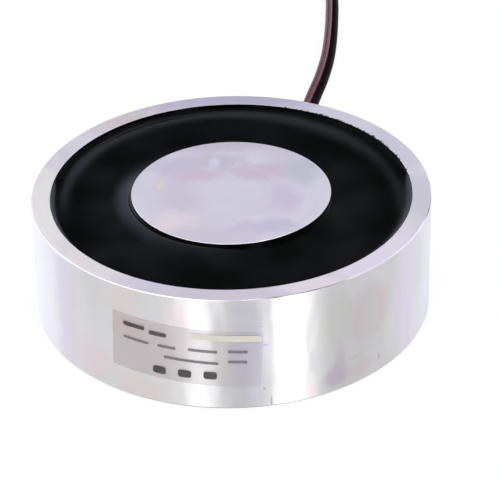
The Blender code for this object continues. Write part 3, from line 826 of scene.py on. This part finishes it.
def lead_core(colour, side, paths, material, tin):
    """One core with its stripped end, and the tinned strands that come out of it."""
    path, other = paths[side], paths[-side]
    facing = [(there - here).normalized() for here, there in zip(path, other)]
    bore = TINNED_DIAMETER / 2 / CORE_RADIUS * STRIP_FIT
    ends = ((-HAIR, CUT_EDGE[0]), (0.0, CUT_EDGE[1]), (0.0, bore), (-STRIP_DEPTH, bore))
    mesh = swept("lead_" + colour, path, facing, core_outline(), ends)
    core = add_object("insulated_core_" + colour, mesh, material)
    piece(core, colour + "_insulation", "lead_" + colour)
    return core, tinned_strands(colour, path, tin)


def tinned_strands(colour, path, material):
    """Twisted strands with their tin, cut off square."""
    way = (path[-1] - path[-2]).normalized()
    outline = []
    for i in range(STRAND_SIDES):
        angle = 2 * pi * i / STRAND_SIDES
        lobe = abs(cos(STRAND_LOBES * angle / 2))
        reach = TINNED_DIAMETER / 2 * (1 - STRAND_DEPTH + STRAND_DEPTH * lobe)
        outline.append((reach * cos(angle), reach * sin(angle)))
    start = path[-1] - way * CLEARANCE
    run = TINNED_LENGTH + 2 * CLEARANCE
    places, facing = [], []
    for i in range(STRAND_RINGS + 1):
        places.append(start + way * run * i / STRAND_RINGS)
        turn = Matrix.Rotation(STRAND_TWIST * i / STRAND_RINGS, 3, way)
        facing.append(turn @ Vector((0.0, 0.0, 1.0)))
    mesh = swept("tinned_strands", places, facing, outline, ((-HAIR, CUT_EDGE[1]),))
    strands = add_object("tinned_strands_" + colour, mesh, material)
    return piece(strands, "tinned_copper", "tinned_end_" + colour)


def flat_bore(name, low, high):
    """The flat bore of the bush, which both cores pass through side by side."""
    radius, half = CORE_RADIUS + CLEARANCE / 2, CORE_PITCH / 2
    outline = arc((0.0, half), radius, 0, 180, BORE_STEPS)
    outline += arc((0.0, -half), radius, 180, 360, BORE_STEPS)
    points = [(x, y, z) for z in (low, high) for x, y in outline]
    count = len(outline)
    faces = [(i, (i + 1) % count, (i + 1) % count + count, i + count) for i in range(count)]
    faces += [tuple(reversed(range(count))), tuple(range(count, 2 * count))]
    return add_object(name, mesh_of(name, points, faces))


def cable_bush(material):
    """The rubber bush: a collar outside the wall and a short ribbed nose."""
    seat = POT_RADIUS + FINE_GAP
    face = POT_RADIUS + CLEARANCE + BUSH_COLLAR
    tip = face + BUSH_NOSE
    neck, collar = BUSH_NECK_RADIUS, BUSH_COLLAR_RADIUS
    ribs = []
    for i in range(RIB_COUNT):
        foot = face + BUSH_NOSE * (RIB_START + RIB_PITCH * i)
        crest = neck + RIB_RISE - RIB_TAPER * i
        root = crest - RIB_DEPTH
        ribs += [(root, foot), (crest, foot + RIB_FLANK)]
        ribs += [(crest, foot + RIB_WIDTH - RIB_FLANK), (root, foot + RIB_WIDTH)]
    profile = [(0.0, tip), (neck - BUSH_TIP_STEP, tip), *reversed(ribs)]
    profile += [(neck + BUSH_FOOT_STEP, face), (collar, face), (collar, seat)]
    profile += [(neck, seat), (neck, BUSH_NECK_START), (0.0, BUSH_NECK_START)]
    mesh = turned("cable_bush", supported(blended(profile, BUSH_BLEND), BUSH_SUPPORT), BUSH_SEGMENTS)
    bush = add_object("wall_bush", mesh, material)
    face_outwards(bush)
    bore = flat_bore("lead_bore", BUSH_NECK_START - BUSH_COLLAR, tip + BUSH_COLLAR)
    face_outwards(bore)
    carve(bush, [bore])
    bush.data.set_sharp_from_angle(angle=BUSH_SHARP)
    return piece(bush, "black_rubber", "cable_bush")


def thread_shape(radius, height, angle):
    """Cuts the screw thread into the wall of the tapped hole, and leaves the rest of the pot as it is."""
    inside = radius == THREAD_CORE_RADIUS and COUNTERSINK < height < THREAD_DEPTH
    if not inside:
        return radius, height
    turn = (height / THREAD_PITCH - angle / (2 * pi)) % 1.0
    flank = abs(2 * turn - 1)
    share = min(1.0, max(0.0, (flank - THREAD_CREST) / THREAD_FLANK))
    fade = min(1.0, (THREAD_DEPTH - height) / (THREAD_RUN_OUT * THREAD_PITCH))
    return radius + (THREAD_RADIUS - THREAD_CORE_RADIUS) * share * fade, height


def pot_profile():
    """The pot's section from the pole's middle down the groove, up the rim and round to the hole."""
    top, foot = POT_HEIGHT, GROOVE_FLOOR
    tip = THREAD_DEPTH + THREAD_CORE_RADIUS / tan(DRILL_POINT / 2)
    chamfer = [(POLE_RADIUS - POLE_CHAMFER, top), (POLE_RADIUS, top - POLE_CHAMFER)]
    pole_edge = blended([(0.0, top), *chamfer, (POLE_RADIUS, foot)], POLE_BLEND, steps=6)[1:-1]
    outer = [
        (0.0, top),
        *pole_edge,
        *arc((POLE_RADIUS + GROOVE_CORNER, foot + GROOVE_CORNER), GROOVE_CORNER, 180, 270, 2),
        *arc((RIM_INNER - GROOVE_CORNER, foot + GROOVE_CORNER), GROOVE_CORNER, 270, 360, 2),
        (RIM_INNER, top - RIM_CHAMFER),
        (RIM_INNER + RIM_CHAMFER, top),
        (POT_RADIUS - FACE_CHAMFER, top),
        (POT_RADIUS, top - FACE_CHAMFER),
        (POT_RADIUS, BACK_CHAMFER),
        (POT_RADIUS - BACK_CHAMFER, 0.0),
        (THREAD_CORE_RADIUS + COUNTERSINK, 0.0),
    ]
    rows = round((THREAD_DEPTH - COUNTERSINK) / THREAD_PITCH * THREAD_ROWS)
    step = (THREAD_DEPTH - COUNTERSINK) / rows
    hole = [(THREAD_CORE_RADIUS, COUNTERSINK + step * i) for i in range(rows + 1)]
    return supported(blended(outer, EDGE_BLEND)) + hole + [(0.0, tip)]


def pot_finish(face):
    """Which finish a face has: 0 pole and back, 1 rim, 2 wall and groove, 3 outer chamfers and hole."""
    reach, height = face.center.xy.length, face.center.z
    if height < POT_HEIGHT / 2 and reach < THREAD_RADIUS + COUNTERSINK:
        return 3
    if height < FLAT_FACE:
        return 0
    inside = height > POT_HEIGHT - FACE_CHAMFER and reach < POT_RADIUS - FACE_CHAMFER
    if inside or height > POT_HEIGHT - FLAT_FACE:
        return 1 if reach > RIM_INNER else 0
    foot = reach > POT_RADIUS - BACK_CHAMFER and FOOT_START < height < BACK_CHAMFER
    return 3 if foot or height > POT_HEIGHT - FACE_CHAMFER else 2


def steel_pot(*finishes):
    """The pot with its tapped hole, and the hole in its wall that the bush sits in."""
    mesh = turned("steel_pot", pot_profile(), POT_SEGMENTS, thread_shape)
    pot = add_object("steel_pot", mesh, *finishes)
    radius, depth = BUSH_NECK_RADIUS + CLEARANCE / 2, POT_RADIUS - RIM_INNER
    near_end, far_end = RIM_INNER - depth / 2, POT_RADIUS + depth
    profile = [(0.0, far_end), (radius, far_end), (radius, near_end), (0.0, near_end)]
    hole = add_object("cable_hole", turned("cable_hole", profile, BUSH_SEGMENTS))
    face_outwards(hole)
    carve(pot, [hole])
    for face in pot.data.polygons:
        face.material_index = pot_finish(face)
    pot.data.set_sharp_from_angle(angle=SHARP_ANGLE)
    return piece(pot, "plated_steel", "pot_housing")


def near(angle, middle, width):
    """A soft bell: 1 at the middle and next to nothing two widths away, both in degrees."""
    apart = (angle - radians(middle) + pi) % (2 * pi) - pi
    return exp(-((apart / radians(width)) ** 2))


def ridge(distance, place, breadth):
    return exp(-(((distance - place) / breadth) ** 2))


def step(value, start, end):
    """A smooth step from 0 at the start to 1 at the end."""
    share = min(1.0, max(0.0, (value - start) / (end - start)))
    return share * share * (3.0 - 2.0 * share)


def resin_height(radius, angle):
    """The set resin's surface: level, with its shoulder and fillet at the rim, swells and ridges."""
    from_rim = max(0.0, RIM_INNER - FINE_GAP - radius)
    from_pole = radius - POLE_RADIUS - FINE_GAP
    rise, reach = SHOULDER_RISE * step(sin(angle), *SHOULDER_SPAN), SHOULDER_REACH
    for middle, width, more_rise, more_reach in RIM_SWELLS:
        rise += more_rise * near(angle, middle, width)
        reach += more_reach * near(angle, middle, width)
    height = POT_HEIGHT - RESIN_SAG + rise / (1.0 + (from_rim / reach) ** 3)
    middle, width, more = WIDE_FILLET
    fillet = FILLET_WIDTH + more * near(angle, middle, width)
    height += FILLET_RISE * step(sin(angle), *FILLET_SPAN) * exp(-from_rim / fillet)
    height += POLE_RISE * max(0.0, 1.0 - from_pole / POLE_REACH) ** 2
    for middle, width, rise, reach in POLE_SWELLS:
        height += rise * near(angle, middle, width) * max(0.0, 1.0 - from_pole / reach) ** 2
    for distance, row in ((from_pole, POLE_RIDGE), (from_rim, FLOW_CREASE)):
        middle, width, rise, place, breadth = row
        height += rise * near(angle, middle, width) * ridge(distance, place, breadth)
    return height + RESIN_RIPPLE * noise.noise(polar(radius, angle, 0.0) * RIPPLE_GRAIN)


def nib(angle, seed, middle, width):
    """How far the resin's ragged edge stands over the steel's edge, from 0 to 1."""
    ragged = noise.noise(Vector((cos(angle), sin(angle), seed)) * NIB_GRAIN)
    often = NIB_OFTEN * near(angle, middle, width)
    return min(1.0, max(0.0, (ragged - NIB_LEVEL + often) * NIB_SLOPE))


def resin_shape(inner, outer):
    """Moves the turned resin's surface to the poured height, and its film's edges to their nibs."""
    def shape(radius, height, angle):
        if height == POT_HEIGHT:
            return radius, resin_height(radius, angle)
        if radius == outer and height == POT_HEIGHT - RESIN_LIP_DROP:
            over = nib(angle, 0.0, *NIBS)
            return radius + NIB_REACH * over, height + (RESIN_LIP_DROP + FINE_GAP) * over
        if radius == inner and height > POT_HEIGHT - RESIN_SAG:
            over = nib(angle, 3.0, *POLE_RIDGE[:2])
            return radius - NIB_REACH * over, height + (RESIN_POLE_DROP + FINE_GAP) * over
        return radius, height
    return shape


def potting_resin(material):
    """The resin in the groove. The points of its surface start at the holding face's height."""
    inner, outer = POLE_RADIUS + FINE_GAP, RIM_INNER - FINE_GAP
    skirt = BOBBIN_RADIUS + CLEARANCE
    floor, ceiling = GROOVE_FLOOR + CLEARANCE, BOBBIN_TOP + CLEARANCE
    lip, pole_lip = POT_HEIGHT - RESIN_LIP_DROP, POT_HEIGHT - RESIN_POLE_DROP
    start, end = inner + RESIN_FILM, outer - RESIN_FILM
    middle, half = (start + end) / 2, (end - start) / 2
    turns = [pi * i / RESIN_RINGS for i in range(1, RESIN_RINGS)]
    dish = [start, *(middle - half * cos(turn) for turn in turns), end]
    profile = [(inner, pole_lip), (start, pole_lip)]
    profile += [(radius, POT_HEIGHT) for radius in dish]
    profile += [
        (end, lip),
        (outer, lip),
        (outer, floor + GROOVE_CORNER),
        (outer - GROOVE_CORNER, floor),
        (skirt, floor),
        (skirt, ceiling),
        (inner, ceiling),
    ]
    mesh = turned("set_resin", profile, RESIN_SEGMENTS, resin_shape(inner, outer))
    mesh.set_sharp_from_angle(angle=RESIN_SHARP)
    return piece(add_object("set_resin", mesh, material), "black_resin", "potting_resin")


def rounded_box(width, height, corner, steps=6):
    """The outline of a rectangle with round corners, about its middle."""
    outline = []
    for x, y, start in ((1, 1, 0), (-1, 1, 90), (-1, -1, 180), (1, -1, 270)):
        middle = (x * (width / 2 - corner), y * (height / 2 - corner))
        outline += arc(middle, corner, start, start + 90, steps)
    return outline


def wall_patch(name, outlines, lift, thickness, border=0.0):
    """Thin patches on the wall, one mesh. Outlines run along the wall and up from the label's middle.

    A border of the width given goes round each one, with the second material.
    """
    bm = bmesh.new()
    for outline in outlines:
        bm.faces.new([bm.verts.new((x, y, 0.0)) for x, y in outline])
    if border:
        inset = bmesh.ops.inset_region(bm, faces=bm.faces[:], thickness=border, use_even_offset=True)
        for face in inset["faces"]:
            face.material_index = 1
    for i in range(round(LABEL_WIDTH / FILM_COLUMN)):
        cut = Vector((LABEL_WIDTH * -0.5 + (i + 0.5) * FILM_COLUMN, 0.0, 0.0))
        everything = bm.verts[:] + bm.edges[:] + bm.faces[:]
        bmesh.ops.bisect_plane(bm, geom=everything, plane_co=cut, plane_no=(1.0, 0.0, 0.0))
    raised = bmesh.ops.extrude_face_region(bm, geom=bm.faces[:])["geom"]
    for vert in (v for v in raised if isinstance(v, bmesh.types.BMVert)):
        vert.co.z = thickness
    bmesh.ops.recalc_face_normals(bm, faces=bm.faces)
    turn = Matrix.Rotation(LABEL_SKEW, 2)
    for vert in bm.verts:
        run, rise = turn @ vert.co.xy
        vert.co = polar(POT_RADIUS + lift + vert.co.z, LABEL_ANGLE + run / POT_RADIUS, LABEL_MIDDLE + rise)
    mesh = bpy.data.meshes.new(name)
    bm.to_mesh(mesh)
    bm.free()
    mesh.shade_smooth()
    mesh.set_sharp_from_angle(angle=SHARP_ANGLE)
    return mesh


def bar_outlines(bars):
    """Outlines of plain bars with round corners."""
    outlines = []
    for across, up, width, height in bars:
        outline = rounded_box(width, height, height * BAR_CORNER, steps=3)
        outlines.append([(across + x, up + y) for x, y in outline])
    return outlines


def label(film, edge, marks):
    outline = rounded_box(LABEL_WIDTH, LABEL_HEIGHT, LABEL_CORNER)
    sheet = wall_patch("clear_label", [outline], LABEL_ADHESIVE / 2, LABEL_THICKNESS, LABEL_BORDER)
    piece(add_object("clear_label", sheet, film, edge), "label_film", "label_film")
    lift = LABEL_ADHESIVE / 2 + LABEL_THICKNESS + INK_THICKNESS / 2
    for name, bars, ink in marks:
        patch = wall_patch(name, bar_outlines(bars), lift, INK_THICKNESS)
        piece(add_object(name, patch, ink), "label_film")


def dress_solids(material, *solids):
    """Gives its finish to solids that stay."""
    for node in solids:
        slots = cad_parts[node].data.materials
        slots.clear()
        slots.append(material)


# Studio: white floor and backdrop, a pale room with darker parts in front, a bright sky round a dark
# zenith, and a dark flag behind the part, so narrow that only the glossy resin shows it. Each pair is
# of degrees up from the floor, or to the side for the flag, between which one level turns to the next
FLOOR_HALF = 4.0
FLOOR_GREY = (0.9, 0.9, 0.9, 1.0)
FLOOR_GLOW_SEEN = 0.88
FLOOR_GLOW_MIRRORED = 0.5
SKY_BACK = 1.32
SKY_FRONT = 1.9
SKY_TURN = 0.3
SKY_FOOT = (38, 50)
ZENITH = 0.4
ZENITH_EDGE = (66, 76)
FLAG_SIDE = (3.2, 11)
FLAG_FOOT = (13, 20)
FLAG_TOP = (38, 50)
FLAG_DEPTH = 0.98
COOL_BACK = 0.12
COOL_GREEN = 0.6

# Lamps for the wall's bright stripes: azimuth from +X and elevation in degrees, distance, width,
# height and radiance
SOFTBOXES = {
    "left_box": (-110.0, 24.0, 1.2, 0.26, 0.9, 4.0),
    "right_box": (-61.0, 24.0, 1.2, 0.27, 0.9, 7.0),
}

# Light of the room round the part: azimuth from +X in degrees, and level
SURROUND = (
    (-180, 1.15), (-148, 1.05), (-130, 1.00), (-104, 0.65), (-94, 0.28),
    (-80, 0.22), (-74, 0.45), (-50, 0.80), (-42, 0.45), (-24, 0.50),
    (-6, 0.80), (15, 1.10), (35, 1.40), (60, 1.20), (110, 1.20),
    (125, 1.85), (150, 1.85), (165, 1.25), (180, 1.15),
)


def make_world():
    world = bpy.data.worlds.new("studio")
    bpy.context.scene.world = world
    world.use_nodes = True
    nodes = Nodes(world.node_tree)
    x, y, z = nodes.split(nodes.add("TexCoord").outputs["Generated"])

    def between(part, degrees, *levels):
        """A smooth step of one part of the way looked, from one angle to another."""
        return nodes.ramp(part, *(sin(radians(angle)) for angle in degrees), *levels)

    rows = []
    for azimuth, level in SURROUND:
        cool = COOL_BACK * max(0.0, sin(radians(azimuth)))
        tint = (1 - cool, 1 - COOL_GREEN * cool, 1 + cool)
        rows.append((azimuth, (*(level * part for part in tint), 1.0)))
    room = turn_ramp(nodes, nodes.math("ARCTAN2", y, x), rows)
    sky = nodes.ramp(y, -SKY_TURN, SKY_TURN, SKY_FRONT, SKY_BACK)
    sky = between(z, ZENITH_EDGE, sky, ZENITH)
    light = nodes.mix(between(z, SKY_FOOT), room, nodes.vector(sky, sky, sky))
    flag = nodes.times(between(z, FLAG_FOOT), between(z, FLAG_TOP, 1.0, 0.0))
    flag = nodes.times(flag, between(nodes.math("ABSOLUTE", x), FLAG_SIDE, 1.0, 0.0))
    flag = nodes.times(flag, nodes.math("GREATER_THAN", y, 0.0))
    light = nodes.mix(nodes.times(flag, FLAG_DEPTH), light, (0.0, 0.0, 0.0, 1.0))
    background = world.node_tree.nodes["Background"]
    nodes.feed(background.inputs["Color"], nodes.mix(seen_rays(nodes), light, (1.0, 1.0, 1.0, 1.0)))


def seen_rays(nodes):
    """1 for rays from the camera and through film, else 0."""
    rays = nodes.add("LightPath").outputs
    return nodes.math("MAXIMUM", rays["Is Camera Ray"], rays["Is Transmission Ray"])


def make_floor():
    """A pale floor that looks white to the camera and in the metal, and keeps a soft shadow."""
    corners = ((-1, -1), (1, -1), (1, 1), (-1, 1))
    mesh = mesh_of("floor", [(x * FLOOR_HALF, y * FLOOR_HALF, 0.0) for x, y in corners], [(0, 1, 2, 3)])
    material, nodes, shader = new_material("floor", FLOOR_GREY, 1.0)
    tree = nodes.tree
    tree.nodes.remove(shader)
    mirrored = nodes.add("LightPath").outputs["Is Glossy Ray"]
    share = nodes.times(mirrored, FLOOR_GLOW_MIRRORED)
    share = nodes.math("MAXIMUM", share, nodes.times(seen_rays(nodes), FLOOR_GLOW_SEEN))
    plain = nodes.add("BsdfDiffuse", {"Color": FLOOR_GREY})
    glow = nodes.add("Emission")
    both = nodes.add("MixShader", {0: share})
    tree.links.new(plain.outputs[0], both.inputs[1])
    tree.links.new(glow.outputs[0], both.inputs[2])
    tree.links.new(both.outputs[0], tree.nodes["Material Output"].inputs["Surface"])
    add_object("floor", mesh, material)


def softbox(name, azimuth, elevation, distance, width, height, radiance):
    """A soft rectangular lamp that looks at the part. Azimuth is from +X, in degrees."""
    data = bpy.data.lights.new(name, "AREA")
    data.shape = "RECTANGLE"
    data.size, data.size_y = width, height
    data.energy = radiance * pi * width * height
    lamp = add_object(name, data)
    rise = radians(elevation)
    away = polar(cos(rise), radians(azimuth), sin(rise))
    lamp.location = away * distance
    lamp.rotation_euler = away.to_track_quat("Z", "Y").to_euler()
    lamp.visible_camera = False


def main():
    make_camera()
    red = insulation("red_insulation", rgb(78, 27, 33), rgb(88, 42, 46), gloss=0.28)
    black = insulation("black_insulation", rgb(6, 3, 4), rgb(9, 6, 7), gloss=0.015)
    tin = metal("tinned_copper", rgb(205, 205, 208), rgb(180, 180, 184), roughness=0.3, grain=1500.0)
    rubber = moulded("black_rubber", rgb(24, 24, 25), rgb(34, 33, 34), roughness=0.6, grain=1200.0)

    paths = {side: core_path(side) for side in (1, -1)}
    bush = cable_bush(rubber)
    for colour, side, material, extra in (("red", 1, red, [bush]), ("black", -1, black, [])):
        core, strands = lead_core(colour, side, paths, material, tin)

    rim = ground_steel("ground_rim", smeared=True, Anisotropic=0.6)
    steel_pot(ground_steel("ground_pole"), rim, turned_steel(), painted_edge_light())
    potting_resin(black_resin())
    film = film_material("label_film", rgb(168, 136, 138), rgb(166, 146, 150), alpha=0.13)
    edge = film_material("film_edge", rgb(110, 100, 104), rgb(130, 122, 128), alpha=0.42)
    bold = label_ink("bold_ink", rgb(46, 42, 46), rgb(84, 80, 84), alpha=0.62)
    fine = label_ink("fine_ink", rgb(92, 86, 94), rgb(120, 114, 122), alpha=0.42)
    cover = label_ink("cover_strip", rgb(214, 210, 196), rgb(208, 204, 194), alpha=0.5)
    marks = [("bold_bars", BOLD_BARS, bold), ("fine_bars", FINE_BARS, fine)]
    label(film, edge, marks + [("cover_strip", COVER_STRIP, cover)])

    copper = metal("enamelled_copper", rgb(196, 110, 66), rgb(170, 88, 48), roughness=0.3, grain=700.0)
    nylon = moulded("natural_nylon", rgb(226, 220, 200), rgb(214, 206, 182), roughness=0.5, grain=600.0)
    tape = moulded("polyester_tape", rgb(214, 172, 70), rgb(200, 156, 54), roughness=0.35, grain=500.0)
    shrink = moulded("heat_shrink", rgb(28, 28, 29), rgb(38, 37, 38), roughness=0.5, grain=900.0)
    dress_solids(nylon, "coil_bobbin")
    dress_solids(copper, "copper_winding", "start_wire", "finish_wire")
    dress_solids(tape, "winding_tape")
    dress_solids(shrink, "joint_sleeve_red", "joint_sleeve_black")
    dress_solids(tin, "solder_joint_red", "solder_joint_black")

    make_world()
    make_floor()
    for name, row in SOFTBOXES.items():
        softbox(name, *row)


main()
